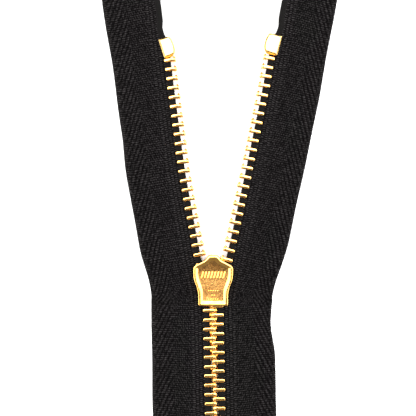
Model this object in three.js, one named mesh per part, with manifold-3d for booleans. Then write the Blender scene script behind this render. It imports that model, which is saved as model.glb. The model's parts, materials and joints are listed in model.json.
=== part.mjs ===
// A closed-end metal zipper lying on its front, with the back of its slider up.
// Millimetres. +Y runs along the closed chain to its open end, and +Z is up.
// The two rows part at the fork, inside the slider. Below it they are closed.
// Above it each side is an arm of four lengths that turn about upright axes on
// the line where the rows mesh, so each length has its own group.
import * as THREE from 'three';
import { mergeVertices } from 'three/addons/utils/BufferGeometryUtils.js';
import Module from 'manifold-3d';

const wasm = await Module();
wasm.setup();

// ---- Driving dimensions ----

const PITCH = 2.42; // tooth to tooth along one row
const TEETH_BELOW_FORK = 14; // in each row
const TEETH_ABOVE_FORK = 26; // in each row
const ARM_PITCHES = [5, 8, 9]; // lengths 1 to 3 of an arm; length 4 runs to the end
const FORK_SPREAD = 1.054; // the teeth of length 1 stand this much further apart
const TAPE_PAST_STOP = 23; // free tape past the top stops
const TAPE_BELOW_STOP = 15; // free tape below the bottom stop

// Each side: its sign in X, how far its tape reaches from the mesh line, how far
// in pitches its first tooth is past the fork and its top stop is past its last
// tooth, and how many degrees each length of the arm leans outwards.
const SIDES = {
  left: { sign: -1, reach: 16.6, phase: 0.25, stopGap: 0.6, leans: [11.4, 9.2, 6.4, 6.0] },
  right: { sign: 1, reach: 16.3, phase: 0.75, stopGap: 0.78, leans: [15.8, 13.5, 12.7, 11.8] },
};

const CHAIN_HEIGHT = 4.5; // middle of the teeth above the table
const TOOTH_HEIGHT = 2.5;
const TOOTH_REACH = 0.42; // how far a head passes the mesh line
const TOOTH_LEG_END = 2.96; // from the mesh line
const HEAD_TIP_THICKNESS = 0.66;
const HEAD_THICKNESS = 1.04;
const HEAD_FRONT = -0.08; // the head is at its thickest from here
const HEAD_BACK = 0.59; // to here
const LEG_START = 0.92;
const LEG_THICKNESS = 0.7;
const CLAMP_START = 1.15; // bottom of the slot between a tooth's legs
const CLAMP_HALF = 0.8; // half of that slot's height
const RIB_WIDTH = 0.25;
const RIB_HALF = 0.5;

const CORD_INNER = 1.45;
const CORD_OUTER = 2.35;
const CORD_HALF = 0.5;

const TAPE_INNER = 2.65;
const TAPE_BEND = 6; // flat as far as here, then it falls to the table
const TAPE_THICKNESS = 0.6;

const SEAM_GAP = 0.3; // between two lengths of one tape, cord or row
const SEAT_GAP = 0.1; // between fitted metal pieces
const CUT_MARGIN = 1; // how far a cutting body passes what it cuts

const STOP_LENGTH = 4.7;
const STOP_HEIGHT = 2.6;
const STOP_INNER = -0.1;
const STOP_OUTER = 3;
const STOP_CORNER = 0.43;

const BOTTOM_STOP_LENGTH = 3.2;
const BOTTOM_STOP_GAP = 0.6;
const BOTTOM_STOP_HALF_WIDTH = 3.2;

const CHANNEL_HALF = 1.45; // half of the slider's inner height
const WING_THICKNESS = 0.9;
const SLIDER_BOTTOM = -2.95;
const SLIDER_NOSE = 10.15;
const SLIDER_WAIST = 3.85; // half width of the narrow end
const SLIDER_SHOULDER = 5.15; // half width of the wide end
const SLIDER_CORNER = 0.5;
const WAIST_END = 1.05; // the sides widen from here
const SHOULDER_START = 4.1; // to here
const SHOULDER_END = 6.7; // and turn in to the nose
const SHOULDER_TOP = 7.4;
const NOSE_FOOT = [1.9, 8.75]; // half width and place where the nose begins
const NOSE_HALF = 1.05; // at its tip
const CHANNEL_WAIST = 3.25;
const CHANNEL_MOUTH = 4.7;
const FLANGE_TOP = 5.2;
const TAPE_SLOT_HALF = 0.65;
const DIAMOND_START = 4.3;
const DIAMOND_WIDEST = 8.3;
const DIAMOND_END = 9.95;
const DIAMOND_HALVES = [0.12, 1, 0.7]; // half widths at its start, widest place and end

const CROWN_PIVOT_Y = 2.4; // where the pull tab turns
const CROWN_HALF_LENGTH = 3.3;
const CROWN_HALF_WIDTH = 0.95;
const CROWN_HEIGHT = 2.1;
const CROWN_WALL = 0.5;
const CROWN_FOOT = 0.9;
const CROWN_CORNER = 0.63;

const TAB_BAR_RADIUS = 0.36;
const TAB_BAR_DROP = 0.55; // bar's middle below the front wing
const TAB_THICKNESS = 0.9;
const TAB_END = 0.2; // how far the tab's cheeks pass the bar's middle
const TAB_LENGTH = 24;
const TAB_HALF_WIDTH = 2.7;
const TAB_WINDOW_HALF = 1.8;
const TAB_WINDOW_LENGTH = 4.1;
const TAB_HOLE_RADIUS = 1.4;
const TAB_HOLE_FROM_TIP = 3.2;
const TAB_CORNER = 1.2;
const TAB_BAR_SEAT = 0.5; // how far the bar runs into each cheek
const HOLE_SIDES = 16;
const BAR_SIDES = 10;
const TAB_TIP_HEIGHT = 0.05; // the tip lies on the table

const SPRING_THICKNESS = 0.18;
const SPRING_HALF_WIDTH = 0.6;
const SPRING_DROP = 0.98; // leaf's upper face below the front wing
const PRONG_X = 1.3; // between two teeth of the right row
const PRONG_Y = 0.52;
const PRONG_HALF = 0.25;
const PRONG_TIP = 0.3; // how far the prong stands in the chain
const PRONG_HOLE_MARGIN = 0.2;

// ---- Materials ----

const gold = { color: 0xd9a441, roughness: 0.22, metalness: 1 };
const paleGold = { color: 0xe2b865, roughness: 0.25, metalness: 1 };
const springSteel = { color: 0xb9b7b0, roughness: 0.3, metalness: 1 };
const weave = { color: 0x222020, roughness: 0.95, metalness: 0 };
const cordBlack = { color: 0x2a2828, roughness: 0.9, metalness: 0 };

function piece(name, geometry, look) {
  const mesh = new THREE.Mesh(geometry, new THREE.MeshStandardMaterial(look));
  mesh.name = name;
  return mesh;
}

// ---- Shapes ----

// A plan outline raised between two heights.
function plate(outline, bottom, top) {
  const shape = new THREE.Shape(outline.map(([x, y]) => new THREE.Vector2(x, y)));
  const geometry = new THREE.ExtrudeGeometry(shape, { depth: top - bottom, bevelEnabled: false });
  return geometry.translate(0, 0, bottom);
}

// A section in X and Z drawn along Y. Each end may lean: its Y grows with X.
function rail(section, start, end, startLean = 0, endLean = 0) {
  const geometry = plate(section, -end, -start).rotateX(Math.PI / 2);
  const spots = geometry.attributes.position;
  const middle = (start + end) / 2;
  for (let i = 0; i < spots.count; i += 1) {
    const lean = spots.getY(i) < middle ? startLean : endLean;
    spots.setY(i, spots.getY(i) + spots.getX(i) * lean);
  }
  return geometry;
}

function block([x0, x1], [y0, y1], [z0, z1]) {
  const geometry = new THREE.BoxGeometry(x1 - x0, y1 - y0, z1 - z0);
  return geometry.translate((x0 + x1) / 2, (y0 + y1) / 2, (z0 + z1) / 2);
}

function solid(geometry) {
  const bare = geometry.clone();
  bare.deleteAttribute('normal');
  bare.deleteAttribute('uv');
  const merged = mergeVertices(bare);
  return new wasm.Manifold(new wasm.Mesh({
    numProp: 3,
    vertProperties: merged.attributes.position.array,
    triVerts: Uint32Array.from(merged.index.array),
  }));
}

function geometryOf(body) {
  const mesh = body.getMesh();
  const geometry = new THREE.BufferGeometry();
  geometry.setAttribute('position', new THREE.BufferAttribute(mesh.vertProperties, 3));
  geometry.setIndex(new THREE.BufferAttribute(mesh.triVerts, 1));
  return geometry;
}

const joined = (geometries) => geometries.map(solid).reduce((all, next) => all.add(next));
const rod = (radius, length, sides) => new THREE.CylinderGeometry(radius, radius, length, sides);
const mirrored = (half) => [...half, ...half.map(([x, y]) => [-x, y]).reverse()];
const between = (low, high) => [Math.min(low, high), Math.max(low, high)];

// ---- One side of the zipper ----

// Half of a tooth's plan, from the middle of the head to the middle of the leg.
function toothPlan(sign, y) {
  const half = [
    [-TOOTH_REACH, HEAD_TIP_THICKNESS / 2],
    [HEAD_FRONT, HEAD_THICKNESS / 2],
    [HEAD_BACK, HEAD_THICKNESS / 2],
    [LEG_START, LEG_THICKNESS / 2],
    [TOOTH_LEG_END, LEG_THICKNESS / 2],
  ];
  const other = half.map(([x, t]) => [x, -t]).reverse();
  return [...half, ...other].map(([x, t]) => [sign * x, y + t]);
}

// The teeth of one length, with their clamp slot, on the rib that joins them.
function toothRow(sign, toothSpots, start, end) {
  const low = CHAIN_HEIGHT - TOOTH_HEIGHT / 2;
  const teeth = toothSpots.map((y) => plate(toothPlan(sign, y), low, low + TOOTH_HEIGHT));
  const slot = block(
    between(sign * CLAMP_START, sign * (TOOTH_LEG_END + CUT_MARGIN)),
    [start - PITCH, end + PITCH],
    [CHAIN_HEIGHT - CLAMP_HALF, CHAIN_HEIGHT + CLAMP_HALF],
  );
  const rib = block(
    between(sign * (CLAMP_START - RIB_WIDTH), sign * CLAMP_START),
    [start, end],
    [CHAIN_HEIGHT - RIB_HALF, CHAIN_HEIGHT + RIB_HALF],
  );
  return geometryOf(joined(teeth).subtract(solid(slot)).add(solid(rib)));
}

function cordSection(sign) {
  const middle = (CORD_INNER + CORD_OUTER) / 2;
  const halfWidth = (CORD_OUTER - CORD_INNER) / 2;
  const corner = CORD_HALF / 2;
  return [
    [-halfWidth, -corner], [0, -CORD_HALF], [halfWidth, -corner],
    [halfWidth, corner], [0, CORD_HALF], [-halfWidth, corner],
  ].map(([x, z]) => [sign * (middle + x), CHAIN_HEIGHT + z]);
}

function tapeSection(sign, reach) {
  const half = TAPE_THICKNESS / 2;
  return [
    [TAPE_INNER, CHAIN_HEIGHT - half],
    [TAPE_BEND, CHAIN_HEIGHT - half],
    [reach, 0],
    [reach, TAPE_THICKNESS],
    [TAPE_BEND, CHAIN_HEIGHT + half],
    [TAPE_INNER, CHAIN_HEIGHT + half],
  ].map(([x, z]) => [sign * x, z]);
}

// A U-shaped clip crimped over the cord and the edge of the tape.
function topStop(sign, start) {
  const half = STOP_HEIGHT / 2;
  const upper = [
    [STOP_INNER, half - STOP_CORNER],
    [STOP_INNER + STOP_CORNER, half],
    [STOP_OUTER, half],
    [STOP_OUTER, CLAMP_HALF],
    [CLAMP_START, CLAMP_HALF],
  ];
  const lower = upper.map(([x, z]) => [x, -z]).reverse();
  const section = [...upper, ...lower].map(([x, z]) => [sign * x, CHAIN_HEIGHT + z]);
  return rail(section, start, start + STOP_LENGTH);
}

// One length of a side: its tape, cord and teeth between two leaning seams.
function sideLength({ name, sign, reach, index, start, end, startLean, endLean, toothSpots }) {
  const seam = SEAM_GAP / 2;
  const strip = (section) => rail(section, start + seam, end - seam, startLean, endLean);
  const ribEnd = Math.min(end, toothSpots.at(-1) + PITCH / 2) - seam;
  const ribStart = Math.max(start, toothSpots[0] - PITCH / 2) + seam;
  return [
    piece(`${name}_tape_${index}`, strip(tapeSection(sign, reach)), weave),
    piece(`${name}_cord_${index}`, strip(cordSection(sign)), cordBlack),
    piece(`${name}_teeth_${index}`, toothRow(sign, toothSpots, ribStart, ribEnd), gold),
  ];
}

const toothRange = (first, last, phase, pitch = PITCH) => Array.from(
  { length: last - first },
  (_, i) => (first + i + phase) * pitch,
);

// The closed length and the four lengths of the arm, each turned in its own group.
function buildSide(name, { sign, reach, phase, stopGap, leans }) {
  const turns = leans.map((lean, i) => -sign * THREE.MathUtils.degToRad(lean - (leans[i - 1] ?? 0)));
  const leanAt = (i) => Math.tan((turns[i] ?? 0) / 2);
  const closed = new THREE.Group();
  closed.add(...sideLength({
    name, sign, reach, index: 0, start: TAPE_START, end: 0, startLean: 0, endLean: leanAt(0),
    toothSpots: toothRange(-TEETH_BELOW_FORK, 0, phase),
  }));

  let parent = closed;
  let parentLength = 0;
  let firstTooth = 0;
  leans.forEach((_, i) => {
    const isLast = i === leans.length - 1;
    const teeth = isLast ? TEETH_ABOVE_FORK - firstTooth : ARM_PITCHES[i];
    const pitch = i === 0 ? PITCH * FORK_SPREAD : PITCH;
    const stopStart = (teeth - 1 + phase + stopGap) * PITCH;
    const armLength = isLast ? stopStart + STOP_LENGTH + TAPE_PAST_STOP : teeth * pitch;
    const arm = new THREE.Group();
    arm.name = `${name}_arm_${i + 1}`;
    arm.position.y = parentLength;
    arm.rotation.z = turns[i];
    arm.add(...sideLength({
      name, sign, reach, index: i + 1, start: 0, end: armLength,
      startLean: -leanAt(i), endLean: leanAt(i + 1), toothSpots: toothRange(0, teeth, phase, pitch),
    }));
    if (isLast) {
      arm.add(piece(`${name}_top_stop`, topStop(sign, stopStart), paleGold));
    }
    parent.add(arm);
    parent = arm;
    parentLength = armLength;
    firstTooth += teeth;
  });
  return closed;
}

// ---- Bottom stop ----

const BOTTOM_STOP_TOP = -TEETH_BELOW_FORK * PITCH - BOTTOM_STOP_GAP;
const TAPE_START = BOTTOM_STOP_TOP - BOTTOM_STOP_LENGTH - TAPE_BELOW_STOP;

// An H-shaped clamp over both cords.
function bottomStop() {
  const half = STOP_HEIGHT / 2;
  const upper = [
    [CLAMP_START, CLAMP_HALF],
    [BOTTOM_STOP_HALF_WIDTH, CLAMP_HALF],
    [BOTTOM_STOP_HALF_WIDTH, half],
  ];
  const right = [...upper.map(([x, z]) => [x, -z]).reverse(), ...upper];
  const section = mirrored(right).map(([x, z]) => [x, CHAIN_HEIGHT + z]);
  return rail(section, BOTTOM_STOP_TOP - BOTTOM_STOP_LENGTH, BOTTOM_STOP_TOP);
}

// ---- Slider ----

const FRONT_WING = CHAIN_HEIGHT - CHANNEL_HALF - WING_THICKNESS; // its outer face
const BACK_WING = CHAIN_HEIGHT + CHANNEL_HALF + WING_THICKNESS;

const WING_PLAN = mirrored([
  [SLIDER_WAIST - SLIDER_CORNER, SLIDER_BOTTOM],
  [SLIDER_WAIST, SLIDER_BOTTOM + SLIDER_CORNER],
  [SLIDER_WAIST, WAIST_END],
  [SLIDER_SHOULDER, SHOULDER_START],
  [SLIDER_SHOULDER, SHOULDER_END],
  [SLIDER_SHOULDER - SLIDER_CORNER, SHOULDER_TOP],
  NOSE_FOOT,
  [NOSE_HALF, SLIDER_NOSE],
]);

// The space that both rows sweep: narrow where they are closed, wide at the mouths.
const CHANNEL_PLAN = mirrored([
  [CHANNEL_WAIST, SLIDER_BOTTOM - CUT_MARGIN],
  [CHANNEL_WAIST, 0],
  [CHANNEL_MOUTH, FLANGE_TOP],
  [SLIDER_SHOULDER + CUT_MARGIN, FLANGE_TOP],
  [SLIDER_SHOULDER + CUT_MARGIN, SLIDER_NOSE + CUT_MARGIN],
]);

const DIAMOND_PLAN = mirrored([
  [DIAMOND_HALVES[0], DIAMOND_START],
  [DIAMOND_HALVES[1], DIAMOND_WIDEST],
  [DIAMOND_HALVES[2], DIAMOND_END],
]);

function sliderBody() {
  const inside = [CHAIN_HEIGHT - CHANNEL_HALF, CHAIN_HEIGHT + CHANNEL_HALF];
  const tapeSlot = block(
    [-SLIDER_SHOULDER - CUT_MARGIN, SLIDER_SHOULDER + CUT_MARGIN],
    [SLIDER_BOTTOM - CUT_MARGIN, SLIDER_NOSE + CUT_MARGIN],
    [CHAIN_HEIGHT - TAPE_SLOT_HALF, CHAIN_HEIGHT + TAPE_SLOT_HALF],
  );
  const flanges = solid(plate(WING_PLAN, ...inside))
    .subtract(solid(plate(CHANNEL_PLAN, inside[0] - CUT_MARGIN, inside[1] + CUT_MARGIN)))
    .subtract(solid(tapeSlot));
  const reach = PRONG_HALF + PRONG_HOLE_MARGIN;
  const prongHole = block(
    [PRONG_X - reach, PRONG_X + reach],
    [PRONG_Y - reach, PRONG_Y + reach],
    [FRONT_WING - CUT_MARGIN, inside[0] + CUT_MARGIN],
  );
  const body = solid(plate(WING_PLAN, FRONT_WING, inside[0]))
    .add(solid(plate(WING_PLAN, inside[1], BACK_WING)))
    .add(flanges)
    .add(solid(plate(DIAMOND_PLAN, ...inside)))
    .subtract(solid(prongHole));
  return geometryOf(body);
}

// An arch along Y that stands on the front wing and holds the tab's bar.
function crown() {
  const top = FRONT_WING - SEAT_GAP;
  const low = FRONT_WING - CROWN_HEIGHT;
  const archLow = low + CROWN_WALL;
  const side = [
    [CROWN_HALF_LENGTH - CROWN_FOOT, top],
    [CROWN_HALF_LENGTH, top],
    [CROWN_HALF_LENGTH, low + CROWN_CORNER],
    [CROWN_HALF_LENGTH - CROWN_CORNER, low],
  ];
  const other = side.map(([y, z]) => [-y, z]).reverse();
  const inner = [
    [-CROWN_HALF_LENGTH + CROWN_FOOT, archLow],
    [CROWN_HALF_LENGTH - CROWN_FOOT, archLow],
  ];
  const outline = [...side, ...other, ...inner];
  const arch = plate(outline, -CROWN_HALF_WIDTH, CROWN_HALF_WIDTH);
  // The outline's X and Y become Y and Z.
  arch.rotateX(Math.PI / 2).rotateZ(Math.PI / 2);
  return arch.translate(0, CROWN_PIVOT_Y, 0);
}

// A leaf through the arch, with a prong that passes the wing into the chain.
function lockSpring() {
  const leafTop = FRONT_WING - SPRING_DROP;
  const leafLow = leafTop - SPRING_THICKNESS;
  const prongTop = CHAIN_HEIGHT - TOOTH_HEIGHT / 2 + PRONG_TIP;
  const leafEnd = CROWN_PIVOT_Y + CROWN_HALF_LENGTH - CROWN_FOOT - SEAT_GAP;
  const leafStart = CROWN_PIVOT_Y - CROWN_HALF_LENGTH + CROWN_FOOT + SEAT_GAP;
  const leafHeight = [leafLow, leafTop];
  const prongX = [PRONG_X - PRONG_HALF, PRONG_X + PRONG_HALF];
  const prongY = [PRONG_Y - PRONG_HALF, PRONG_Y + PRONG_HALF];
  const leaf = block([-SPRING_HALF_WIDTH, SPRING_HALF_WIDTH], [leafStart, leafEnd], leafHeight);
  const arm = block([0, prongX[1]], prongY, leafHeight);
  const prong = block(prongX, prongY, [leafLow, prongTop]);
  return geometryOf(joined([leaf, arm, prong]));
}

// ---- Pull tab ----

const TAB_PIVOT_Z = FRONT_WING - TAB_BAR_DROP;

function pullTab() {
  const low = -TAB_THICKNESS / 2;
  const plan = mirrored([
    [TAB_HALF_WIDTH, TAB_END],
    [TAB_HALF_WIDTH, -TAB_LENGTH + TAB_CORNER],
    [TAB_HALF_WIDTH - TAB_CORNER, -TAB_LENGTH],
  ]);
  const window = block(
    [-TAB_WINDOW_HALF, TAB_WINDOW_HALF],
    [-TAB_WINDOW_LENGTH, TAB_END + CUT_MARGIN],
    [low - CUT_MARGIN, -low + CUT_MARGIN],
  );
  const hole = rod(TAB_HOLE_RADIUS, TAB_THICKNESS + 2 * CUT_MARGIN, HOLE_SIDES);
  hole.rotateX(Math.PI / 2).translate(0, -TAB_LENGTH + TAB_HOLE_FROM_TIP, 0);
  const bar = rod(TAB_BAR_RADIUS, 2 * (TAB_WINDOW_HALF + TAB_BAR_SEAT), BAR_SIDES);
  bar.rotateZ(Math.PI / 2);
  const body = solid(plate(plan, low, -low))
    .subtract(solid(window))
    .subtract(solid(hole))
    .add(solid(bar));
  return geometryOf(body);
}

function buildSlider() {
  const slider = new THREE.Group();
  slider.add(piece('slider_body', sliderBody(), gold));
  slider.add(piece('slider_crown', crown(), gold));
  slider.add(piece('lock_spring', lockSpring(), springSteel));
  const tab = new THREE.Group();
  tab.name = 'tab_pivot';
  tab.position.set(0, CROWN_PIVOT_Y, TAB_PIVOT_Z);
  tab.rotation.x = Math.asin((TAB_PIVOT_Z - TAB_THICKNESS / 2 - TAB_TIP_HEIGHT) / TAB_LENGTH);
  tab.add(piece('pull_tab', pullTab(), gold));
  slider.add(tab);
  return slider;
}

// ---- The whole zipper, with the middle of its footprint at the origin ----

const zipper = new THREE.Group();
for (const [name, side] of Object.entries(SIDES)) {
  zipper.add(buildSide(name, side));
}
zipper.add(piece('bottom_stop', bottomStop(), gold));
zipper.add(buildSlider());
zipper.updateMatrixWorld(true);
const box = new THREE.Box3().setFromObject(zipper, true);
zipper.position.set(-(box.min.x + box.max.x) / 2, -(box.min.y + box.max.y) / 2, -box.min.z);

export default zipper;
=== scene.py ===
"""A closed-end metal zipper, lying on its front with the back of its slider up.

Shapes are worked out in millimetres from the fork, the point inside the slider
where the two rows of teeth part, and from the table. X points right, Y runs along
the closed chain to its open end. s is the distance along a side from the fork, and
u the distance outwards from the line where the two rows mesh.
"""
import json
import math
import random

import bpy
import numpy as np
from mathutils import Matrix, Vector


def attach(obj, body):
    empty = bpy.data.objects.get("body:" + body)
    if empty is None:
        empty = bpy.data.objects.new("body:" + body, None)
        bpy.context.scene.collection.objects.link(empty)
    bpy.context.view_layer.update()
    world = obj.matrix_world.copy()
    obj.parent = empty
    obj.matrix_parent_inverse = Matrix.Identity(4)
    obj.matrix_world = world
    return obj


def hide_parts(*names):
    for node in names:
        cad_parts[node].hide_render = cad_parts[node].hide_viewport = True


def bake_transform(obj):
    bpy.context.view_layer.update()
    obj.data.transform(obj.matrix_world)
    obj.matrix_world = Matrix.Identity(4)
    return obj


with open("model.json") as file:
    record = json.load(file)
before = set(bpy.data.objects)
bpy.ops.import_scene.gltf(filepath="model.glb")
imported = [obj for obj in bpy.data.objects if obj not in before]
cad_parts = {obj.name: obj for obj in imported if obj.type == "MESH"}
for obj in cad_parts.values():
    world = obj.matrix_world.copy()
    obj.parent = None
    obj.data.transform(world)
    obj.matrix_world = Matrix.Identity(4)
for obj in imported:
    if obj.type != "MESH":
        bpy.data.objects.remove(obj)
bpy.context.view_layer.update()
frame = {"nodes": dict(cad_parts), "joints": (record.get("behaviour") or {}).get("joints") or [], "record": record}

MM = 0.001
SEED = 7
JOINTS = {joint["name"]: joint for joint in frame["joints"]}
RATIOS = {row["joint"]: row["ratio"] for row in frame["record"]["behaviour"]["couplings"]}
TRAVEL = JOINTS["slider_slide"]["range_m"][1]
FORK = np.array(JOINTS["left_arm_1_bend"]["pos_m"]) / MM
CHAIN = FORK[2]  # height of the middle of the teeth

# ---- Sizes, in millimetres ----

PITCH = 2.42  # tooth to tooth along one row
ARM_TEETH = (5, 8, 9, 4)  # on each length of an arm, from the fork to the top
CLOSED_TEETH = 14  # in each row below the fork
PHASE = {"left": 0.25, "right": 0.75}  # first tooth past the fork, in pitches
SIGN = {"left": -1, "right": 1}
REACH = {"left": 16.45, "right": 16.25}  # outer edge of each tape
BEND_HALF = (4.0, 3.5, 4.0, 4.0)  # each bend of a tape runs this far either way
COURSE_STEP = 0.05

TOOTH_HALF_HEIGHT = 1.25
TOOTH_TIP = -0.5  # the head reaches this far over the mesh line
HEAD_HALF = 0.56  # half of a head's thickness along the row
HEAD_END = 0.62
LEG_HALF = 0.48  # and of a leg's
LEG_START = 0.85
LEG_END = 2.7
TOOTH_CROWN = [(0, 0.3), (0.02, 0.16), (0.06, 0.08), (0.12, 0.025), (0.2, 0)]  # (inset, drop)
NUB_RADII = (0.36, 0.42, 0.6)
HOLLOW_RADII = (0.47, 0.62, 0.74)
DOME_RADII = (0.44, 0.5, 0.5)
DOME_PLACE = (0.02, 0.1, 0.85)  # on the top of a head, and mirrored under it
CLAMP_START = 1.15  # the slot for the cord
CLAMP_HALF = 0.8

CORD_MIDDLE = 1.75
CORD_HALF_WIDTH = 0.84
CORD_HALF_HEIGHT = 0.72
CORD_RIB = 0.57  # from one rib of the cord to the next
RIB_DEPTH = (0.07, 0.06)  # of the cord, in its width and its height
CORD_CORNERS = 14  # round the cord
# How far the cord strays outwards past the top stop, where, and over what length.
CORD_EASE = (0.7, -2.0, 3.0)
CORD_BULGE = (0.3, 2.3, 2.5)

TAPE_INNER = 2.1
TAPE_HALF = 0.3
HELD_SHARE = 0.97  # past this share of the plain part, the beaded edge holds the tape down
TAPE_STEP = 0.5  # along the mesh of the tape
PLAIN_COLUMNS = 22  # across the mesh of the tape, outside the stitched part
FALL_START = 5.4  # the tape falls from here to the table
FALL_END = 15.3
PICK = 0.57  # from one weft thread to the next
WARP = 0.28  # from one warp thread to the next
KNIT_START = 3.0
KNIT_END = 5.8
KNIT_COLUMN = 0.95
KNIT_MARGIN = 0.35  # from the last stitched column to the plain tape
KNIT_DEPTH = 0.09  # of the grooves between the stitched columns
PLAIN_SINK = 0.04  # of the plain tape, below the tops of the stitches
TWILL_TURN = 10.7  # the herringbone's spine
INNER_RIDGE = 0.67  # from one ridge of the twill to the next, inside the spine
OUTER_RIDGE = 1.2  # and outside it
LOOP = 0.5  # from one loop of a weft thread to the next
EDGE_START = 15.5  # the beaded edge
SELVEDGE_RADIUS = 0.3
SELVEDGE_LIFT = 0.02
BEAD_DEPTH = (0.14, 0.12)  # of the beaded edge, in its width and its height
BEAD_CORNERS = 8  # round the edge
# Slow waves, each with its depth, its length over 2 pi, and its phase.
FLUTTER = (0.16, 5.7, 1.3)  # of the tape's outer part, upwards
EDGE_RIPPLES = ((0.07, 7.3, 1), (0.05, 3.1, 2))  # of its outer edge, outwards
# Where each outer edge strays: how far outwards, the middle, and half of the stretch.
EDGE_DRIFT = {
    "left": ((-0.6, 7.0, 9.0), (0.25, 36.5, 8.0), (0.8, 80.0, 18.0)),
    "right": ((-0.9, 5.0, 13.0), (-1.0, -8.0, 9.0)),
}

STOP_GAP = {"left": 0.6, "right": 0.66}  # past the last tooth, in pitches
STOP_LENGTH = 4.7
STOP_HALF_HEIGHT = 1.3
STOP_CROWN = [(0, 0.62), (0.05, 0.5), (0.4, 0.1), (0.52, 0.02), (0.64, 0)]  # (inset, drop)
STOP_MIDDLE = 1.35  # of its width, from the mesh line
STOP_STRETCH = {"left": (1.0, 1.0, 1.0), "right": (1.17, 1.04, 1.0)}
STOP_TWIST = {"left": 11.0, "right": 4.0}  # degrees that each was crimped outwards
# The most that a tooth is off true: its stretch, its place, and its twist in degrees.
JITTER = {"stretch": 0.02, "u": 0.03, "t": 0.02, "twist": 1.2}
TAPE_PAST_STOP = 23.0
TAPE_START = -52.68
BOTTOM_STOP = (-37.68, -34.48)  # its two ends
BOTTOM_STOP_HALF_WIDTH = 3.2

CHANNEL_HALF = 1.45
WING = 0.9  # thickness
TAPE_SLOT_HALF = 0.65
FLANGE_SINK = 0.2  # into the wings
DIAMOND_SINK = 0.1
FLANGE_TOP = 5.2
RIM_DEPTH = 0.32
SLIDER_FOOT = -2.95
SLIDER_TURN = -1.2  # degrees
WING_STEPS = 8  # points round each corner of a wing
CROWN_Y = 2.4
CROWN_HALF_LENGTH = 3.3
CROWN_HALF_WIDTH = 0.95
CROWN_HEIGHT = 2.1
CROWN_WALL = 0.4
CROWN_FOOT = 0.9
CROWN_SINK = 0.05

TAB_LENGTH = 24.0
TAB_HALF_WIDTH = 2.7
TAB_HALF = 0.45
TAB_END = 0.2
TAB_WAIST = 0.35  # how much each side is drawn in
TAB_BAR_RADIUS = 0.36
TAB_BAR_HALF = 2.3
TAB_DROP = 0.55
TAB_TIP_HEIGHT = 0.05

# ---- Colours ----

# The tape's black is painted light on its raised threads and painted shade in the grooves between them.
TAPE_SHADED = (0.0004, 0.0003, 0.0003, 1)
TAPE_LIT = (0.0265, 0.0245, 0.0245, 1)
# The cord is set darker than the tape as painted shade from the teeth round it. It is painted light on its raised
# threads and painted shade between them.
CORD_SHADED = (0.0006, 0.0005, 0.0005, 1)
CORD_LIT = (0.011, 0.01, 0.0095, 1)
STEEL_LIGHT = (0.62, 0.61, 0.58, 1)
STEEL_DARK = (0.42, 0.41, 0.4, 1)
PIT_SHARE = (0.45, 0.42, 0.4, 1)  # of the gold's colour, in the pits of a sanded face
FLOOR_COLOUR = (0.92, 0.92, 0.925, 1)
STUDIO_COLOUR = (0.3, 0.285, 0.27, 1)

# ---- Lights, camera and floor ----

# Each soft light's place and size in metres, and its power in watts.
SOFTBOXES = {
    "left_softbox": ((-0.54, 0.05, 0.42), (0.65, 0.65), 6.5),
    "right_softbox": ((0.54, 0.05, 0.42), (0.65, 0.65), 6.5),
    "high_softbox": ((0.0, 0.255, 0.62), (0.7, 0.55), 9.0),
}
LIGHT_AIM = (0, 0, 0.003)
FLOOR_HALF = 3.0  # metres
FLOOR_DROP = 0.05  # millimetres

VIEW_CENTRE = (-0.84, 22.38)  # millimetres from the fork
VIEW_WIDTH = 108.2  # millimetres, at the height of the teeth
VIEW_ROLL = -1.1  # degrees
LENS = 100
SENSOR = 36

STRAIGHT = 1e-3  # two edges that turn less than this run on in one line
CORNER_SHARE = 0.49  # of an edge, the most that one rounded corner takes

rng = random.Random(SEED)


# ---- Numbers and outlines ----

def smooth(t):
    """0 to 1 as t goes from 0 to 1, level at both ends."""
    t = np.clip(t, 0, 1)
    return t * t * (3 - 2 * t)


def bump(x, middle, half):
    """1 at middle, falling smoothly to 0 at half away."""
    return 1 - smooth(np.abs(x - middle) / half)


def mirrored(half):
    """A closed outline from its right half, which runs from the bottom to the top."""
    return [*half, *[(-x, y, *rest) for x, y, *rest in reversed(half)]]


def oblong(half_width, half_length, radius):
    """A closed outline with four rounded corners."""
    return mirrored([(half_width, -half_length, radius), (half_width, half_length, radius)])


def inset(outline, distance):
    """Each edge of a closed outline moved inwards by distance."""
    points = np.array([p[:2] for p in outline], float)
    edges = np.roll(points, -1, axis=0) - points
    edges /= np.linalg.norm(edges, axis=1)[:, None]
    inward = np.column_stack([-edges[:, 1], edges[:, 0]])
    shifted = []
    for i, point in enumerate(points):
        sides = np.array([inward[i - 1], inward[i]])
        if abs(np.linalg.det(sides)) < STRAIGHT:
            shifted.append(point + inward[i - 1] * distance)
        else:
            shifted.append(point + np.linalg.solve(sides, [distance, distance]))
    return [(*p, *old[2:]) for p, old in zip(shifted, outline)]


def rounded(outline, steps=6):
    """The outline with each corner (x, y, radius) turned into a curve."""
    points = np.array([p[:2] for p in outline], float)
    curve = []
    for i, corner in enumerate(points):
        radius = outline[i][2]
        to_last = points[i - 1] - corner
        to_next = points[(i + 1) % len(points)] - corner
        start = corner + to_last * min(radius / np.linalg.norm(to_last), CORNER_SHARE)
        end = corner + to_next * min(radius / np.linalg.norm(to_next), CORNER_SHARE)
        for t in np.linspace(0, 1, steps):
            curve.append((1 - t) ** 2 * start + 2 * t * (1 - t) * corner + t * t * end)
    return np.array(curve)


def level_rings(outline, levels, steps):
    """The rounded outline at each level (inset, height)."""
    rings = []
    for distance, height in levels:
        ring = rounded(inset(outline, distance), steps)
        rings.append(np.column_stack([ring, np.full(len(ring), height)]))
    return rings


def slab(outline, levels, steps=6):
    """A closed shell through the outline inset at each level (inset, height)."""
    return shell(level_rings(outline, levels, steps))


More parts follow.
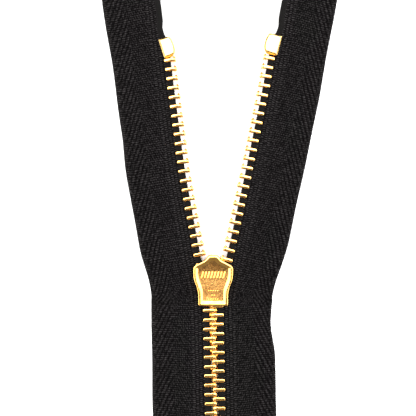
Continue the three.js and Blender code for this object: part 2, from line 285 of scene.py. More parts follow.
def shell(rings):
    """A closed shell through rings that each have the same number of corners."""
    count = len(rings[0])
    faces = [tuple(reversed(range(count)))]
    for level in range(len(rings) - 1):
        low = level * count
        for i in range(count):
            j = (i + 1) % count
            faces.append((low + i, low + j, low + count + j, low + count + i))
    last = (len(rings) - 1) * count
    faces.append(tuple(range(last, last + count)))
    return np.vstack(rings), faces


def soft_levels(half, radius, steps=4):
    """Levels for slab() between -half and half, with rounded edges."""
    turns = [math.pi / 2 * i / steps for i in range(steps + 1)]
    upper = [(radius * (1 - math.cos(a)), half - radius * (1 - math.sin(a))) for a in turns]
    return [(d, -h) for d, h in reversed(upper)] + upper


def ball(centre, radii, segments=20, rings=12):
    """A closed ellipsoid."""
    corners = [np.array([0, 0, -1.0])]
    for i in range(1, rings):
        tilt = math.pi * i / rings - math.pi / 2
        for j in range(segments):
            turn = 2 * math.pi * j / segments
            corners.append(np.array([
                math.cos(tilt) * math.cos(turn), math.cos(tilt) * math.sin(turn), math.sin(tilt),
            ]))
    corners.append(np.array([0, 0, 1.0]))
    faces = [(0, 1 + (j + 1) % segments, 1 + j) for j in range(segments)]
    for i in range(rings - 2):
        low = 1 + i * segments
        for j in range(segments):
            k = (j + 1) % segments
            faces.append((low + j, low + k, low + segments + k, low + segments + j))
    top, low = len(corners) - 1, 1 + (rings - 2) * segments
    faces += [(low + j, low + (j + 1) % segments, top) for j in range(segments)]
    return np.array(corners) * radii + centre, faces


def block(low, high):
    """A closed box, as a tool to cut with."""
    outline = [(low[0], low[1]), (high[0], low[1]), (high[0], high[1]), (low[0], high[1])]
    return shell([np.array([(x, y, z) for x, y in outline]) for z in (low[2], high[2])])


def joined(shells):
    """Several shells as one."""
    corners, faces, start = [], [], 0
    for points, polygons in shells:
        corners.append(points)
        faces += [tuple(start + i for i in polygon) for polygon in polygons]
        start += len(points)
    return np.vstack(corners), faces


def moved(body, place, flip=False):
    """A shell with its corners passed through place(), turned inside out if it mirrors."""
    points, faces = body
    if flip:
        faces = [tuple(reversed(face)) for face in faces]
    return place(points), faces


# ---- Objects ----

def new_mesh(name, body):
    """A mesh from a shell, in the shell's own units."""
    points, faces = body
    mesh = bpy.data.meshes.new(name)
    mesh.from_pydata(points.tolist(), [], faces)
    mesh.validate()
    return mesh


def finished(name, body, materials, sharp=38):
    """An object from a shell in millimetres from the fork and the table.

    Edges that turn more than sharp degrees stay sharp.
    """
    points, faces = body
    world = (points + [FORK[0], FORK[1], 0]) * MM
    mesh = new_mesh(name, (world, faces))
    for material in materials:
        mesh.materials.append(material)
    mesh.shade_smooth()
    mesh.set_sharp_from_angle(angle=math.radians(sharp))
    obj = bpy.data.objects.new(name, mesh)
    bpy.context.scene.collection.objects.link(obj)
    return obj


def combined(body, tools):
    """A shell cut by, or added to, other shells. tools are (operation, shell)."""
    base = bpy.data.objects.new("base", new_mesh("base", body))
    bpy.context.scene.collection.objects.link(base)
    helpers = []
    for operation, tool in tools:
        helper = bpy.data.objects.new("tool", new_mesh("tool", tool))
        bpy.context.scene.collection.objects.link(helper)
        helpers.append(helper)
        modifier = base.modifiers.new("cut", "BOOLEAN")
        modifier.operation = operation
        modifier.solver = "EXACT"
        modifier.object = helper
    result = bpy.data.meshes.new_from_object(
        base.evaluated_get(bpy.context.evaluated_depsgraph_get())
    )
    points = np.array([v.co for v in result.vertices])
    faces = [tuple(p.vertices) for p in result.polygons]
    for helper in [base, *helpers]:
        bpy.data.objects.remove(helper)
    bpy.data.meshes.remove(result)
    return points, faces


# ---- The course of each side ----

class Side:
    """One side of the zipper: its hinges, and the line that its row meshes on."""

    def __init__(self, name):
        self.name = name
        self.sign = SIGN[name]
        self.reach = REACH[name]
        joints = [f"{name}_arm_{i + 1}_bend" for i in range(len(ARM_TEETH))]
        self.pivots = [(np.array(JOINTS[j]["pos_m"]) / MM - FORK)[:2] for j in joints]
        shares = [RATIOS[j] * TRAVEL for j in joints]
        # Slid to the top, lengths 1 to 3 are straight and length 4 leans as length 1 did.
        self.turns = [-share for share in shares[:3]]
        self.turns.append(self.turns[0] - shares[3])
        steps = np.linalg.norm(np.diff(self.pivots, axis=0), axis=1)
        self.hinges = [0.0, *np.cumsum(steps)]
        last_tooth = (ARM_TEETH[-1] - 1 + PHASE[name]) * PITCH
        self.stop_start = self.hinges[-1] + last_tooth + STOP_GAP[name] * PITCH
        self.end = self.stop_start + STOP_LENGTH + TAPE_PAST_STOP
        self.course = self._course()

    def _course(self):
        """s, x and y of points along the smooth course."""
        s = np.arange(-BEND_HALF[0], self.end + COURSE_STEP, COURSE_STEP)
        heading = self.heading(s[:-1] + COURSE_STEP / 2)
        x = np.concatenate([[0], np.cumsum(-np.sin(heading) * COURSE_STEP)])
        y = np.concatenate([[0], np.cumsum(np.cos(heading) * COURSE_STEP)]) - BEND_HALF[0]
        return s, x, y

    def heading(self, s):
        """The smooth course's turn to the left of +Y, in radians."""
        total = np.zeros_like(np.asarray(s, float))
        for hinge, turn, half in zip(self.hinges, self.turns, BEND_HALF):
            total = total + turn * smooth((s - hinge + half) / (2 * half))
        return total

    def soft_place(self, s, u, z):
        """Points at s along the smooth course and u out from it."""
        known, x, y = self.course
        below = np.minimum(s - known[0], 0)
        heading = self.heading(s)
        across = self.sign * u
        return np.column_stack([
            np.interp(s, known, x) + across * np.cos(heading),
            np.interp(s, known, y) + below + across * np.sin(heading),
            z,
        ])

    def firm_place(self, s, points, twist=0.0):
        """A small rigid piece's (u, t, z) points, set at s on its straight length."""
        index = sum(s > hinge for hinge in self.hinges) - 1
        heading = sum(self.turns[: index + 1])
        pivot = self.pivots[max(index, 0)]
        along = s - (self.hinges[index] if index >= 0 else 0)
        way = np.array([-math.sin(heading), math.cos(heading)])
        turn = heading + math.radians(twist)
        u, t, z = points.T
        x = pivot[0] + way[0] * along + self.sign * u * math.cos(turn) - t * math.sin(turn)
        y = pivot[1] + way[1] * along + self.sign * u * math.sin(turn) + t * math.cos(turn)
        return np.column_stack([x, y, z + CHAIN])


# ---- Materials ----

class Look:
    """A node material, with short calls for the nodes that it is made of."""

    def __init__(self, name):
        self.material = bpy.data.materials.new(name)
        self.material.use_nodes = True
        self.tree = self.material.node_tree
        self.shader = self.tree.nodes["Principled BSDF"]

    def node(self, kind, **settings):
        made = self.tree.nodes.new(f"ShaderNode{kind}")
        for name, value in settings.items():
            setattr(made, name, value)
        return made

    def link(self, value, socket):
        """Joins another node's output to the socket, or sets a constant on it."""
        if isinstance(value, bpy.types.NodeSocket):
            self.tree.links.new(value, socket)
        else:
            socket.default_value = value

    def math(self, operation, a, b=0.0, c=0.0):
        made = self.node("Math", operation=operation)
        for value, socket in zip((a, b, c), made.inputs):
            self.link(value, socket)
        return made.outputs[0]

    def noise(self, vector, scale, detail=2.0, roughness=0.5):
        made = self.node("TexNoise")
        self.link(vector, made.inputs["Vector"])
        made.inputs["Scale"].default_value = scale
        made.inputs["Detail"].default_value = detail
        made.inputs["Roughness"].default_value = roughness
        return made.outputs["Fac"]

    def stretched(self, vector, scale):
        """The place scaled by a different number each way, for streaks."""
        made = self.node("Mapping")
        self.link(vector, made.inputs["Vector"])
        made.inputs["Scale"].default_value = scale
        return made.outputs["Vector"]

    def spread(self, value, low, high, out_low=0.0, out_high=1.0):
        """value's range low to high taken to out_low to out_high, and held there."""
        made = self.node("MapRange", clamp=True)
        for number, socket in zip((value, low, high, out_low, out_high), made.inputs):
            self.link(number, socket)
        return made.outputs[0]

    def blend(self, share, first, second):
        """A number that goes from first to second as share goes from 0 to 1."""
        return self.math("MULTIPLY_ADD", self.math("SUBTRACT", second, first), share, first)

    def mix(self, share, first, second):
        made = self.node("Mix", data_type="RGBA")
        self.link(share, made.inputs["Factor"])
        self.link(first, made.inputs[6])
        self.link(second, made.inputs[7])
        return made.outputs[2]

    def bump(self, height, distance, strength=1.0):
        made = self.node("Bump")
        made.inputs["Strength"].default_value = strength
        made.inputs["Distance"].default_value = distance
        self.link(height, made.inputs["Height"])
        self.link(made.outputs[0], self.shader.inputs["Normal"])

    def set(self, **values):
        """Values for the shader's own sockets, by their names."""
        for name, value in values.items():
            self.link(value, self.shader.inputs[name.replace("_", " ")])

    def object_place(self):
        return self.node("TexCoord").outputs["Object"]

    def map_place(self):
        """(u, s) of the piece's own map, in millimetres."""
        made = self.node("UVMap", uv_map="course")
        split = self.node("SeparateXYZ")
        self.link(made.outputs[0], split.inputs[0])
        return split.outputs[0], split.outputs[1]


def gold(name, light, dark, rough=(0.1, 0.26), sand=0.0):
    """Polished plating with faint stains, fine scratches and, if sanded, a gritty face."""
    look = Look(name)
    place = look.object_place()
    stain = look.noise(place, scale=420, detail=3.0, roughness=0.6)
    colour = look.mix(look.spread(stain, 0.35, 0.7), light, dark)
    streaks = look.stretched(place, (900, 9000, 2500))
    scratch = look.noise(streaks, scale=1.0, roughness=0.6)
    fine = look.noise(place, scale=2600, roughness=0.6)
    height = look.math("MULTIPLY_ADD", scratch, 0.35, fine)
    if sand:
        grit = look.noise(place, scale=3400, detail=3.0, roughness=0.7)
        pit = tuple(share * part for share, part in zip(PIT_SHARE, dark))
        colour = look.mix(look.spread(grit, 0.42, 0.62), pit, colour)
        height = look.math("MULTIPLY_ADD", grit, sand, height)
    look.set(Base_Color=colour, Metallic=1.0)
    look.set(Roughness=look.spread(stain, 0.3, 0.75, *rough))
    look.bump(height, distance=0.00002 if sand else 0.000008, strength=0.6)
    return look.material


def steel():
    """Spring steel, brushed along its length."""
    look = Look("spring_steel")
    streaks = look.stretched(look.object_place(), (6000, 600, 6000))
    grain = look.noise(streaks, scale=1.0, detail=3.0)
    look.set(Base_Color=look.mix(grain, STEEL_LIGHT, STEEL_DARK))
    look.set(Metallic=1.0, Roughness=look.spread(grain, 0.3, 0.7, 0.2, 0.38))
    look.bump(grain, distance=0.00001, strength=0.5)
    return look.material


def step_at(look, value, edge):
    """0 below edge and 1 above it, with a narrow change between."""
    return look.spread(value, edge - 0.05, edge + 0.05)


def wave(look, value, period):
    """0 to 1 and back over each period."""
    turned = look.math("MULTIPLY", value, 2 * math.pi / period)
    return look.math("MULTIPLY_ADD", look.math("COSINE", turned), 0.5, 0.5)


def twill(look, u, s, period):
    """Height of a twill: pips that step one warp thread over at each weft."""
    from_spine = look.math("ABSOLUTE", look.math("SUBTRACT", u, TWILL_TURN))
    ridge = look.math("MULTIPLY_ADD", s, WARP / PICK, from_spine)
    pip = look.math("MULTIPLY_ADD", wave(look, s, PICK), 0.85, 0.15)
    return look.math("MULTIPLY", wave(look, ridge, period), pip)


def knit(look, u, s):
    """Height of the stitched columns beside the cord."""
    column = look.math("DIVIDE", look.math("SUBTRACT", u, KNIT_START), KNIT_COLUMN)
    across = look.math("SINE", look.math("MULTIPLY", look.math("FRACT", column), math.pi))
    half_step = look.math("MULTIPLY", look.math("FLOOR", column), PICK / 2)
    dash = wave(look, look.math("ADD", s, half_step), PICK)
    return look.math("MULTIPLY", look.math("POWER", across, 0.7), dash)


def fabric():
    """Black woven tape: a herringbone twill, knitted columns by the cord, a beaded edge."""
    look = Look("black_twill")
    u, s = look.map_place()
    place = look.object_place()
    loose_u = look.math("MULTIPLY_ADD", look.noise(place, scale=1300), 0.5, u)
    loose_s = look.math("MULTIPLY_ADD", look.noise(place, scale=1100), 0.35, s)
    yarn = look.noise(place, scale=1900, roughness=0.6)
    loops = look.math("MULTIPLY", wave(look, loose_s, PICK), wave(look, loose_u, LOOP))
    inner = look.blend(0.55, twill(look, loose_u, loose_s, INNER_RIDGE), loops)
    outer = look.blend(0.3, twill(look, loose_u, loose_s, OUTER_RIDGE), loops)
    relief = look.blend(step_at(look, u, TWILL_TURN), inner, outer)
    relief = look.blend(step_at(look, u, KNIT_END), knit(look, u, loose_s), relief)
    relief = look.blend(step_at(look, u, EDGE_START), relief, wave(look, s, PICK))
    fibre = look.noise(place, scale=7000, detail=3.0, roughness=0.7)
    # Painted light and shade: the colour follows the relief, lighter on the raised threads and dark in the
    # grooves, with random tone from the fibre and yarn.
    lit = look.math("MULTIPLY", relief, look.spread(fibre, 0.35, 0.7, 0.4, 1.4))
    lit = look.math("MULTIPLY", lit, look.spread(yarn, 0.4, 0.62, 0.25, 1.6))
    look.set(Base_Color=look.mix(lit, TAPE_SHADED, TAPE_LIT))
    look.set(Roughness=look.spread(fibre, 0.3, 0.7, 0.7, 0.95))
    look.set(Specular_IOR_Level=0.02)
    look.bump(look.math("MULTIPLY_ADD", fibre, 0.25, relief), distance=0.00014)
    return look.material


def cord_cloth():
    """The cord's tight black cover, with a soft nap."""
    look = Look("black_cord")
    u, s = look.map_place()
    place = look.object_place()
    thread = wave(look, look.math("MULTIPLY_ADD", u, 0.5, s), CORD_RIB / 3)
    fibre = look.noise(place, scale=9000, detail=3.0, roughness=0.7)
    # Painted light and shade: lighter on the raised threads and dark between them, with random tone from the
    # fibre.
    lit = look.math("MULTIPLY", thread, look.spread(fibre, 0.3, 0.75, 0.4, 1.3))
    look.set(Base_Color=look.mix(lit, CORD_SHADED, CORD_LIT))
    look.set(Roughness=look.spread(fibre, 0.3, 0.7, 0.75, 0.95))
    look.set(Sheen_Weight=0.03, Sheen_Roughness=0.45, Specular_IOR_Level=0.06)
    look.bump(look.math("MULTIPLY_ADD", fibre, 0.4, thread), distance=0.00006, strength=0.7)
    return look.material


# ---- Cloth ----

def course_map(mesh, values):
    """Gives each corner its (u, s) as the map that the cloth materials read."""
    layer = mesh.uv_layers.new(name="course")
    corners = np.zeros(len(mesh.loops), np.int32)
    mesh.loops.foreach_get("vertex_index", corners)
    layer.data.foreach_set("uv", np.asarray(values, np.float32)[corners].ravel())


def ring_tube(side, s, ring, u, z):
    """A capped tube through one ring for each s. u and z are (rings, corners) arrays."""
    spots = side.soft_place(np.repeat(s, ring), u.ravel(), z.ravel())
    rings = np.split(spots, len(s))
    return shell(rings)


def fall(u, reach):
    """Height of the tape's middle: level by the teeth, then down to the table."""
    landed = FALL_END * reach / REACH["left"]
    return CHAIN - (CHAIN - TAPE_HALF) * smooth((u - FALL_START) / (landed - FALL_START))


def edge_drift(side, s):
    """How far the outer edge strays from straight: pinched where the tape turns."""
    ripples = [
        depth * np.sin(s / length + phase * side.sign) for depth, length, phase in EDGE_RIPPLES
    ]
    drifts = [depth * bump(s, *place) for depth, *place in EDGE_DRIFT[side.name]]
    return sum(ripples) + sum(drifts)


def tape_columns(side):
    """u of each column of the tape's mesh: close together in the stitched part."""
    inner = [TAPE_INNER, (TAPE_INNER + KNIT_START) / 2]
    knit_u = np.arange(KNIT_START, KNIT_END + 0.01, KNIT_COLUMN / 5)
    plain_u = np.linspace(KNIT_END + KNIT_MARGIN, side.reach - SELVEDGE_RADIUS, PLAIN_COLUMNS)
    return np.concatenate([inner, knit_u, plain_u])


def sheet_caps(first, count):
    """Faces that close the end of a thin sheet, whose ring runs out on top and back below."""
    last = first + count - 1
    return [(first + i, first + i + 1, last - 1 - i, last - i) for i in range(count // 2 - 1)]


def tape_shell(side, s):
    """The woven tape as a thin closed sheet, with its corners' (u, s)."""
    u = tape_columns(side)
    share = np.clip((u - KNIT_END) / (side.reach - KNIT_END), 0, 1)
    column = np.abs(np.sin(math.pi * (u - KNIT_START) / KNIT_COLUMN))
    knitted = (u > KNIT_START) & (u < KNIT_END)
    ridge = np.where(knitted, KNIT_DEPTH * (column - 1), -PLAIN_SINK)
    grid_s, grid_u = np.meshgrid(s, u, indexing="ij")
    real_u = grid_u + edge_drift(side, grid_s) * share**2
    depth, length, phase = FLUTTER
    waves = 1 + np.sin(grid_s / length + phase * side.sign)
    held = share > HELD_SHARE
    lift = depth * share**2 * waves * ~held
    middle = fall(grid_u, side.reach) + lift
    top = middle + TAPE_HALF + ridge
    low = middle - TAPE_HALF - ridge
    ring_u = np.hstack([real_u, real_u[:, ::-1]])
    ring_z = np.hstack([top, low[:, ::-1]])
    if side.sign > 0:
        ring_u, ring_z = ring_u[:, ::-1], ring_z[:, ::-1]
    count = ring_u.shape[1]
    points, faces = ring_tube(side, s, count, ring_u, ring_z)
    start_caps = [tuple(reversed(quad)) for quad in sheet_caps(0, count)]
    faces = faces[1:-1] + start_caps + sheet_caps(len(points) - count, count)
    flat_u = np.hstack([grid_u, grid_u[:, ::-1]])
    if side.sign > 0:
        flat_u = flat_u[:, ::-1]
    return (points, faces), np.column_stack([flat_u.ravel(), np.repeat(s, count)])


def round_shell(side, s, middle_u, middle_z, half_width, half_height, ring):
    """A ribbed round cord. The middle and halves are one number for each s."""
    turn = 2 * math.pi * np.arange(ring) / ring * side.sign * -1
    u = middle_u[:, None] + half_width[:, None] * np.cos(turn)
    z = middle_z[:, None] + half_height[:, None] * np.sin(turn)
    body = ring_tube(side, s, ring, u, z)
    around = np.tile(np.abs(turn), len(s))
    return body, np.column_stack([around, np.repeat(s, ring)])


def cut_points(side):
    """Where each side's cloth is divided: halfway along lengths 1 to 3 of the arm."""
    middles = [(a + b) / 2 for a, b in zip(side.hinges, side.hinges[1:])]
    return [TAPE_START, *middles, side.end]


def samples(start, end, step):
    """Places from start to end, about a step apart."""
    return np.linspace(start, end, max(2, round((end - start) / step) + 1))


def bend_line(side, index, height):
    """Two points either side of a hinge, in metres, that a bend runs between."""
    pivot = side.pivots[index]
    heading = sum(side.turns[:index]) + side.turns[index] / 2
    way = np.array([-math.sin(heading), math.cos(heading)]) * BEND_HALF[index]
    ends = [pivot - way, pivot + way]
    return [tuple((np.array([*end, height]) + [FORK[0], FORK[1], 0]) * MM) for end in ends]


def soft_length(side, index, kind, shells, material):
    """One length of tape or cord, bent across the hinge in its middle."""
    body = joined([part for part, _ in shells])
    obj = finished(f"{side.name}_{kind}_length_{index + 1}", body, [material], sharp=60)
    course_map(obj.data, np.vstack([values for _, values in shells]))
    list(bend_line(side, index, CHAIN))
    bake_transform(obj)
    nodes = [f"{side.name}_{kind}_{index + 1}"]
    if index == 0:
        nodes.append(f"{side.name}_{kind}_0")
    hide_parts(*nodes)
    return obj


def cord_middle(side, s):
    """The cord's u: held in by the teeth, and easing outwards past the top stop."""
    past = s - side.stop_start - STOP_LENGTH
    depth, start, length = CORD_EASE
    eased = depth * smooth((past - start) / length)
    depth, middle, half = CORD_BULGE
    return CORD_MIDDLE + eased + depth * bump(past, middle, half)


def build_cloth(side, tape_material, cord_material):
    """Each length of the side's cord, and of its tape with the beaded edge."""
    cuts = cut_points(side)
    for index, (start, end) in enumerate(zip(cuts, cuts[1:])):
        fine = samples(start, end, CORD_RIB / 4)
        rib = 0.5 + 0.5 * np.cos(2 * math.pi * fine / CORD_RIB)
        cord = round_shell(
            side, fine, cord_middle(side, fine), np.full_like(fine, CHAIN),
            CORD_HALF_WIDTH - RIB_DEPTH[0] * (1 - rib),
            CORD_HALF_HEIGHT - RIB_DEPTH[1] * (1 - rib), CORD_CORNERS,
        )
        cord_object = soft_length(side, index, "cord", [cord], cord_material)
        edge = np.full_like(fine, side.reach - SELVEDGE_RADIUS)
        selvedge = round_shell(
            side, fine, edge + edge_drift(side, fine),
            np.full_like(fine, TAPE_HALF + SELVEDGE_LIFT),
            SELVEDGE_RADIUS - BEAD_DEPTH[0] * (1 - rib),
            SELVEDGE_RADIUS - BEAD_DEPTH[1] * (1 - rib), BEAD_CORNERS,
        )
        selvedge[1][:, 0] = side.reach
        tape = tape_shell(side, samples(start, end, TAPE_STEP))
        tape_object = soft_length(side, index, "tape", [tape, selvedge], tape_material)


# ---- Teeth and stops ----

def slot_for_cord():
    """The cut between a clip's two legs."""
    far = 10.0
    return "DIFFERENCE", block((CLAMP_START, -far, -CLAMP_HALF), (far, far, CLAMP_HALF))


def crowned_levels(half, steps):
    """Levels for slab(): steps of (inset, drop) from a straight side to a crown."""
    upper = [(inward, half - drop) for inward, drop in steps]
    return [(inward, -height) for inward, height in reversed(upper)] + upper


def tooth():
    """One tooth: a domed head with a nub and its hollow, and two legs over the cord."""
    outline = [
        (LEG_END, -LEG_HALF, 0.4),
        (LEG_END, LEG_HALF, 0.4),
        (LEG_START, LEG_HALF, 0.25),
        (HEAD_END, HEAD_HALF, 0.25),
        (TOOTH_TIP, HEAD_HALF, 0.4),
        (TOOTH_TIP, -HEAD_HALF, 0.4),
        (HEAD_END, -HEAD_HALF, 0.25),
        (LEG_START, -LEG_HALF, 0.25),
    ]
    nub = ball((0, HEAD_HALF, 0), NUB_RADII)
    hollow = ball((0, -HEAD_HALF, 0), HOLLOW_RADII)
    x, y, z = DOME_PLACE
    domes = [ball((x, y, side * z), DOME_RADII) for side in (-1, 1)]
    tools = [slot_for_cord(), ("DIFFERENCE", hollow)]
    tools += [("UNION", extra) for extra in (nub, *domes)]
    return combined(slab(outline, crowned_levels(TOOTH_HALF_HEIGHT, TOOTH_CROWN)), tools)


def top_stop():
    """A crimped block, widest at its middle and bevelled all round its top."""
    outline = [
        (1.4, -2.75, 0.3),
        (1.7, -2.5, 0.3),
        (1.7, 2.5, 0.2),
        (-1.35, 2.5, 0.5),
        (-1.8, 1.2, 1.2),
        (-1.75, -1.4, 1.2),
        (-0.95, -2.75, 0.8),
    ]
    return slab(outline, crowned_levels(STOP_HALF_HEIGHT, STOP_CROWN))


def off_true(measure):
    """A small random error in one measure of a tooth."""
    return rng.uniform(-JITTER[measure], JITTER[measure])


def tooth_row(side, name, body, spots, template, material):
    """The teeth that ride on one body, each a little off true."""
    shells = []
    for s in spots:
        stretch = 1 + off_true("stretch")
        shift = np.array([off_true("u"), off_true("t"), 0])
        twist = off_true("twist")
        placed = moved(
            template,
            lambda points: side.firm_place(s, points * [stretch, 1, 1] + shift, twist),
            flip=side.sign < 0,
        )
        shells.append(placed)
    obj = finished(name, joined(shells), [material])
    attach(obj, body)
    return obj


def build_row(side, template, material):
    """The side's teeth below the fork, and on each length of its arm."""
    phase = PHASE[side.name]
    spots = [(k - CLOSED_TEETH + phase) * PITCH for k in range(CLOSED_TEETH)]
    closed = tooth_row(
        side, f"{side.name}_row_closed", "closed_chain", spots, template, material,
    )
    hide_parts(f"{side.name}_teeth_0")
    spread = side.hinges[1] / ARM_TEETH[0]  # the rows gain a little where they part
    for i, count in enumerate(ARM_TEETH):
        pitch = PITCH if i else spread
        spots = [side.hinges[i] + (k + phase) * pitch for k in range(count)]
        body = f"{side.name}_arm_{i + 1}"
        row = tooth_row(side, f"{side.name}_row_arm_{i + 1}", body, spots, template, material)
        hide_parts(f"{side.name}_teeth_{i + 1}")


def build_top_stop(side, template, material):
    """The block, stretched and crimped onto the end of the row."""
    middle = side.stop_start + STOP_LENGTH / 2
    twist = -side.sign * STOP_TWIST[side.name]
    stretch = STOP_STRETCH[side.name]
    solid = moved(template, lambda points: points * stretch + [STOP_MIDDLE, 0, 0])
    body = moved(
        combined(solid, [slot_for_cord()]),
        lambda points: side.firm_place(middle, points, twist),
        flip=side.sign < 0,
    )
    obj = finished(f"{side.name}_end_clip", body, [material])
    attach(obj, f"{side.name}_arm_4")
    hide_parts(f"{side.name}_top_stop")


def build_bottom_stop(material):
    """An H-shaped clip over both cords, rounded at its ends."""
    wide, inner = BOTTOM_STOP_HALF_WIDTH, CLAMP_START
    outline = mirrored([
        (wide, -STOP_HALF_HEIGHT, 0.2),
        (wide, -CLAMP_HALF, 0.12),
        (inner, -CLAMP_HALF, 0.15),
        (inner, CLAMP_HALF, 0.15),
        (wide, CLAMP_HALF, 0.12),
        (wide, STOP_HALF_HEIGHT, 0.2),
    ])
    half = (BOTTOM_STOP[1] - BOTTOM_STOP[0]) / 2
    middle = sum(BOTTOM_STOP) / 2

    def place(points):
        x, z, along = points.T
        return np.column_stack([x, middle - along, z + CHAIN])

    body = moved(slab(outline, soft_levels(half, 0.14)), place)
    obj = finished("bottom_clip", body, [material])
    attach(obj, "closed_chain")
    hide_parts("bottom_stop")


# ---- Slider ----

WING_OUTLINE = mirrored([
    (3.85, -2.95, 0.5),
    (3.85, 0.8, 1.5),
    (5.15, 4.2, 1.5),
    (5.15, 7.3, 0.85),
    (1.95, 8.95, 0.75),
    (1.2, 10.15, 0.6),
])
PANEL_OUTLINE = mirrored([
    (2.6, -1.7, 0.3),
    (2.6, 0.95, 1.2),
    (3.9, 4.45, 1.2),
    (3.9, 6.7, 0.5),
    (1.3, 7.95, 0.5),
    (0.35, 8.75, 0.3),
])
FLANGE_OUTLINE = [
    (3.25, -2.8, 0.15),
    (3.8, -2.8, 0.25),
    (3.8, 0.95, 1.2),
    (5.1, 4.0, 0.6),
    (5.1, FLANGE_TOP, 0.25),
    (4.45, FLANGE_TOP, 0.25),
    (3.25, 0.2, 1.2),
]
DIAMOND_OUTLINE = mirrored([
    (0.12, 4.3, 0.1),
    (1.0, 8.2, 0.5),
    (0.68, 9.9, 0.3),
])
# The ribs on the panel: each row's middle, how many ribs, from one to the next, and a
# rib's length and width.
RIB_ROWS = [
    (5.05, 8, 0.8, 2.1, 0.5),
    (1.0, 5, 0.58, 0.66, 0.36),
    (-0.15, 2, 0.58, 0.6, 0.36),
    (-1.2, 5, 0.58, 0.66, 0.36),
]
RIB_LEVELS = [(0, -0.1), (0, 0.05), (0.04, 0.15), (0.12, 0.23), (0.2, 0.25)]
RIB_LEAN = -14  # degrees
TAB_OUTLINE = mirrored([
    (TAB_HALF_WIDTH - 0.5, -TAB_LENGTH, 1.0),
    (TAB_HALF_WIDTH, -TAB_LENGTH + 1.5, 1.0),
    (TAB_HALF_WIDTH - TAB_WAIST, -12.0, 3.0),
    (TAB_HALF_WIDTH, TAB_END, 0.3),
])
TAB_WINDOW = mirrored([(1.8, -4.1, 0.7), (1.8, 2.0, 0.1)])  # round the crown
TAB_HOLE = mirrored([(0.9, -22.3, 0.9), (0.9, -19.3, 0.9)])  # at the free end


def back_wing():
    """The wing that faces up: a rounded edge, a flat rim, a slope and a sunk panel."""
    low = CHAIN + CHANNEL_HALF
    top = low + WING
    panel = top - RIM_DEPTH
    edge = [
        (0.12, low), (0.03, low + 0.05), (0, low + 0.14),
        (0, top - 0.3), (0.03, top - 0.13), (0.09, top - 0.04), (0.18, top),
    ]
    slope = [(-0.62, top), (-0.52, top - 0.04), (-0.1, panel + 0.03), (0.03, panel)]
    return shell([
        *level_rings(WING_OUTLINE, edge, WING_STEPS),
        *level_rings(PANEL_OUTLINE, slope, WING_STEPS),
    ])


def front_wing():
    """The wing that faces the table, with both its edges rounded."""
    low = CHAIN - CHANNEL_HALF - WING
    levels = [(d, h + low + WING / 2) for d, h in soft_levels(WING / 2, 0.25)]
    return slab(WING_OUTLINE, levels, WING_STEPS)


def flange(sign, low, high):
    """A side wall between a wing and the slot for the tape."""
    half = (high - low) / 2
    levels = [(d, h + low + half) for d, h in soft_levels(half, 0.1)]
    return moved(slab(FLANGE_OUTLINE, levels), lambda p: p * [sign, 1, 1], flip=sign < 0)


def diamond():
    """The wedge between the wings that parts the two rows."""
    low = CHAIN - CHANNEL_HALF - DIAMOND_SINK
    high = CHAIN + CHANNEL_HALF + DIAMOND_SINK
    return slab(DIAMOND_OUTLINE, [(0, low), (0, high)])


def panel_rib(x, y, length, width):
    """A small raised rib on the panel."""
    base = CHAIN + CHANNEL_HALF + WING - RIM_DEPTH
    levels = [(inward, base + height) for inward, height in RIB_LEVELS]
    body = slab(oblong(width / 2, length / 2, width / 2), levels)
    c, s = math.cos(math.radians(RIB_LEAN)), math.sin(math.radians(RIB_LEAN))

    def place(points):
        px, py, z = points.T
        return np.column_stack([x + px * c - py * s, y + px * s + py * c, z])

    return moved(body, place)


def relief():
    """Rows of short slanted ribs, as plain decoration."""
    ribs = []
    for y, count, step, length, width in RIB_ROWS:
        for i in range(count):
            x = (i - (count - 1) / 2) * step
            ribs.append(panel_rib(x, y, length, width))
    return ribs


def slider_turned(points):
    """The slider's points turned about the middle of its foot, as its play allows."""
    turn = math.radians(SLIDER_TURN)
    x, y, z = points.T
    y = y - SLIDER_FOOT
    return np.column_stack([
        x * math.cos(turn) - y * math.sin(turn),
        x * math.sin(turn) + y * math.cos(turn) + SLIDER_FOOT,
        z,
    ])


def build_slider(material, panel_material):
    """The casting: two wings, the diamond, the flanges and the ribs on the panel."""
    low, high = CHAIN - CHANNEL_HALF, CHAIN + CHANNEL_HALF
    wall = CHANNEL_HALF - TAPE_SLOT_HALF
    back = back_wing()
    parts = [back, front_wing(), diamond()]
    for sign in (-1, 1):
        parts.append(flange(sign, high - wall, high + FLANGE_SINK))
        parts.append(flange(sign, low - FLANGE_SINK, low + wall))
    parts += relief()
    body = moved(joined(parts), slider_turned)
    obj = finished("slider_casting", body, [material, panel_material])
    panel = len(back[1]) - 1  # the back wing's last face
    obj.data.polygons[panel].material_index = 1
    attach(obj, "slider")
    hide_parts("slider_body")


def build_crown(material):
    """The arch under the front wing that the pull tab hangs in."""
    top = CHAIN - CHANNEL_HALF - WING + CROWN_SINK
    low = CHAIN - CHANNEL_HALF - WING - CROWN_HEIGHT
    outer, foot = CROWN_HALF_LENGTH, CROWN_FOOT
    outline = mirrored([
        (outer, low, 0.9),
        (outer, top, 0.1),
        (outer - foot, top, 0.1),
        (outer - foot, low + CROWN_WALL, 0.1),
    ])

    def place(points):
        y, z, across = points.T
        return np.column_stack([across, CROWN_Y + y, z])

    body = moved(slab(outline, soft_levels(CROWN_HALF_WIDTH, 0.18)), place)
    obj = finished("crown_arch", body, [material])
    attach(obj, "slider")
    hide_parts("slider_crown")


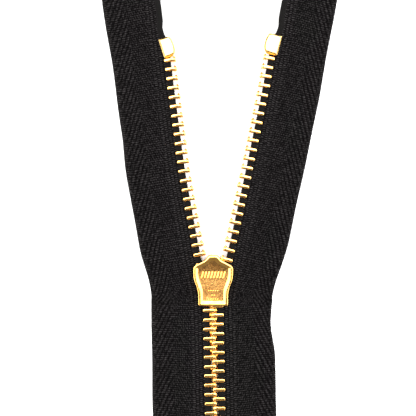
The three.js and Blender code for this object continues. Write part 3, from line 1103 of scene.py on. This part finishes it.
def build_tab(material):
    """The flat pull tab, its bar through the crown, laid down along the closed chain."""
    through = [(0, -2.0), (0, 2.0)]
    rod = oblong(TAB_BAR_RADIUS, TAB_BAR_RADIUS, TAB_BAR_RADIUS)

    def across(points):
        y, z, x = points.T
        return np.column_stack([x, y, z])

    bar = moved(slab(rod, [(0, -TAB_BAR_HALF), (0, TAB_BAR_HALF)]), across)
    body = combined(slab(TAB_OUTLINE, soft_levels(TAB_HALF, 0.2)), [
        ("DIFFERENCE", slab(TAB_WINDOW, through)),
        ("DIFFERENCE", slab(TAB_HOLE, through)),
        ("UNION", bar),
    ])
    pivot_z = CHAIN - CHANNEL_HALF - WING - TAB_DROP
    tilt = math.asin((pivot_z - TAB_HALF - TAB_TIP_HEIGHT) / TAB_LENGTH)

    def place(points):
        x, y, z = points.T
        return np.column_stack([
            x,
            CROWN_Y + y * math.cos(tilt) - z * math.sin(tilt),
            pivot_z + y * math.sin(tilt) + z * math.cos(tilt),
        ])

    obj = finished("tab_plate", moved(body, place), [material])
    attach(obj, "pull_tab")
    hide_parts("pull_tab")


# ---- Stage ----

def add_floor():
    """A plain pale table, just under the zipper."""
    look = Look("floor")
    place = look.object_place()
    look.set(Base_Color=FLOOR_COLOUR, Specular_IOR_Level=0.2)
    look.set(Roughness=look.spread(look.noise(place, scale=30), 0.3, 0.7, 0.8, 0.9))
    far = FLOOR_HALF
    corners = [(-far, -far, 0), (far, -far, 0), (far, far, 0), (-far, far, 0)]
    mesh = bpy.data.meshes.new("floor")
    mesh.from_pydata(corners, [], [(0, 1, 2, 3)])
    mesh.materials.append(look.material)
    floor = bpy.data.objects.new("floor", mesh)
    floor.location.z = -FLOOR_DROP * MM
    bpy.context.scene.collection.objects.link(floor)


def add_softbox(name, place, size, power):
    """A soft light at place, in metres, that faces the zipper."""
    light = bpy.data.lights.new(name, "AREA")
    light.shape = "RECTANGLE"
    light.size, light.size_y = size
    light.energy = power
    obj = bpy.data.objects.new(name, light)
    obj.location = place
    aim = np.array(LIGHT_AIM) - np.array(place)
    obj.rotation_euler = Vector(aim).to_track_quat("-Z", "Y").to_euler()
    bpy.context.scene.collection.objects.link(obj)


def add_lights():
    """The soft lights, and the studio's faint light from all round."""
    for name, (place, size, power) in SOFTBOXES.items():
        add_softbox(name, place, size, power)
    world = bpy.data.worlds.new("studio")
    world.use_nodes = True
    world.node_tree.nodes["Background"].inputs["Color"].default_value = STUDIO_COLOUR
    bpy.context.scene.world = world


def add_camera():
    """A camera straight above, as far up as makes VIEW_WIDTH fill the picture."""
    data = bpy.data.cameras.new("camera")
    data.lens, data.sensor_width = LENS, SENSOR
    camera = bpy.data.objects.new("camera", data)
    distance = VIEW_WIDTH * LENS / SENSOR
    x, y = FORK[0] + VIEW_CENTRE[0], FORK[1] + VIEW_CENTRE[1]
    camera.location = (x * MM, y * MM, (CHAIN + distance) * MM)
    camera.rotation_euler = (0, 0, math.radians(VIEW_ROLL))
    bpy.context.scene.collection.objects.link(camera)
    bpy.context.scene.camera = camera


# ---- The whole scene ----

add_camera()
add_lights()
add_floor()
bpy.context.scene.view_settings.view_transform = "Standard"

tooth_gold = gold("tooth_gold", (0.98, 0.6, 0.19, 1), (0.88, 0.47, 0.12, 1), (0.08, 0.2))
stop_gold = gold("stop_gold", (0.98, 0.68, 0.27, 1), (0.93, 0.56, 0.17, 1))
slider_gold = gold("slider_gold", (0.98, 0.58, 0.16, 1), (0.9, 0.48, 0.11, 1), (0.1, 0.22))
panel_gold = gold("panel_gold", (0.43, 0.24, 0.075, 1), (0.35, 0.17, 0.045, 1), (0.2, 0.32), 2.2)
tape_cloth = fabric()
bead_cloth = cord_cloth()

tooth_shape = tooth()
stop_shape = top_stop()
for side_name in SIGN:
    zipper_side = Side(side_name)
    build_cloth(zipper_side, tape_cloth, bead_cloth)
    build_row(zipper_side, tooth_shape, tooth_gold)
    build_top_stop(zipper_side, stop_shape, stop_gold)
build_bottom_stop(stop_gold)
build_slider(slider_gold, panel_gold)
build_crown(slider_gold)
build_tab(slider_gold)

spring = frame["nodes"]["lock_spring"]
spring.data.materials.clear()
spring.data.materials.append(steel())
